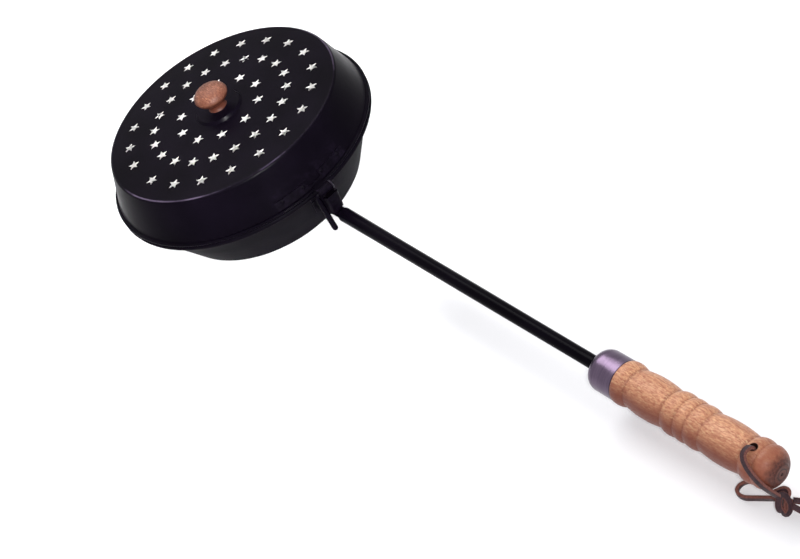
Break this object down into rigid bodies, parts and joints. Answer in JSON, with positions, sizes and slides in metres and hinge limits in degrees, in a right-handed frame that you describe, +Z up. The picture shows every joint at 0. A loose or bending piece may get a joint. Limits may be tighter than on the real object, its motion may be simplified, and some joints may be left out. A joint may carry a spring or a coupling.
{
  "type": "long-handled popcorn popper",
  "caption": "Covered pan for popping corn over a fire: hinged vented lid with punched stars, drop-lever hinge pin, long tube handle, turned wooden grip and a leather thong.",
  "frame": {"origin": "centre of the pan's flat bottom, on the surface that the pan stands on", "axes": "+Z up through the pan and the lid knob, +X along the handle towards the grip, +Y across; the hinge axis is along Y"},
  "size_m": [0.7536, 0.244, 0.1199],
  "materials": {
    "black_enamel": "black baked enamel, satin",
    "knob_wood": "turned hardwood, oiled, reddish tan",
    "grip_wood": "turned hardwood, clear satin varnish",
    "ferrule_steel": "drawn steel, brushed round, blued grey",
    "plated_steel": "zinc plated",
    "thong_leather": "dark brown rawhide lace, paler cut edges"
  },
  "bodies": {
    "pan": {"pan": "black_enamel", "handle_bracket": "black_enamel", "bracket_rivets": "black_enamel", "handle_tube": "black_enamel", "tube_rivet": "black_enamel", "ferrule": "ferrule_steel", "grip": "grip_wood", "grip_pin": "plated_steel", "thong_upper_strand": "thong_leather", "thong_lower_strand": "thong_leather", "thong_long_tail": "thong_leather", "thong_short_tail": "thong_leather", "thong_knot": "thong_leather"},
    "lid": {"lid": "black_enamel", "lid_knob": "knob_wood", "knob_screw": "plated_steel", "knob_washer": "plated_steel", "hinge_strap": "black_enamel", "strap_rivets": "black_enamel"},
    "hinge_pin": {"hinge_pin": "black_enamel", "hinge_pin_clip": "plated_steel"}
  },
  "joints": [
    {"name": "lid_hinge", "type": "hinge", "parent": "pan", "child": "lid", "pos_m": [0.1298, 0, 0.0584], "axis": [0, 1, 0], "range_deg": [0, 140]},
    {"name": "hinge_pin_swing", "type": "hinge", "parent": "pan", "child": "hinge_pin", "pos_m": [0.1298, 0, 0.0584], "axis": [0, 1, 0], "range_deg": [-205, 14]}
  ]
}
